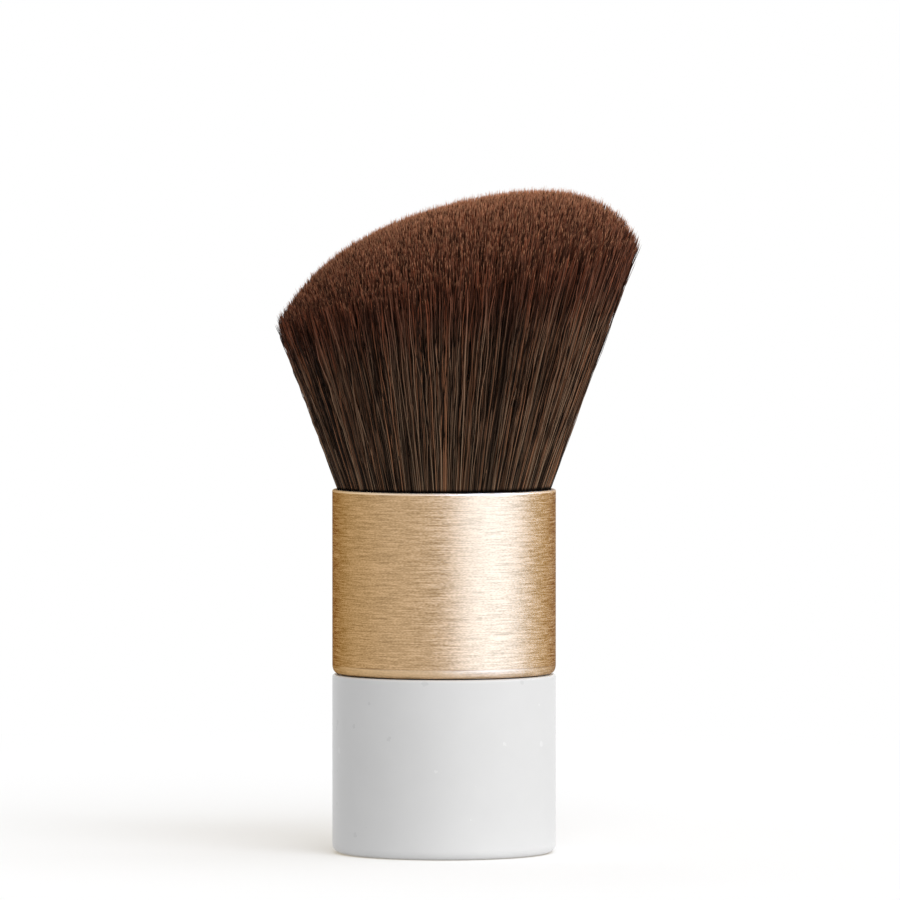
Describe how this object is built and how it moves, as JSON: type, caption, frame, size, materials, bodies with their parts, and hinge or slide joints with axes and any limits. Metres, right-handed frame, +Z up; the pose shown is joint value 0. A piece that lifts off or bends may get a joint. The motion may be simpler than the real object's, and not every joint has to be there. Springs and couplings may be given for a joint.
{
  "type": "kabuki makeup brush",
  "caption": "Short-handled makeup brush with a dense, fanned bristle head cut to a slanted dome, a brushed metal ferrule and a white cylindrical handle it can stand on.",
  "frame": {"origin": "centre of the handle's flat underside, on the axis of the handle and the ferrule", "axes": "+Z up along the handle's axis towards the bristles; +X towards the tall side of the slanted head; +Y to the back"},
  "size_m": [0.0501, 0.0491, 0.0952],
  "materials": {
    "handle_white": "glossy white, smooth, with a few fine grey flecks",
    "weight_steel": "turned, plain",
    "plug_plastic": "moulded, dark grey",
    "ferrule_metal": "gold anodised, brushed round the axis",
    "cup_aluminium": "drawn, plain",
    "resin_amber": "cured epoxy, amber",
    "band_brass": "crimped strip",
    "bristle_brown": "soft synthetic hair, dark brown with lighter red-brown tips"
  },
  "bodies": {
    "root": {"handle_shell": "handle_white", "balance_weight": "weight_steel", "core_plug": "plug_plastic", "ferrule": "ferrule_metal", "knot_cup": "cup_aluminium", "epoxy_plug": "resin_amber", "binding_band": "band_brass", "bristle_head": "bristle_brown"}
  },
  "joints": []
}
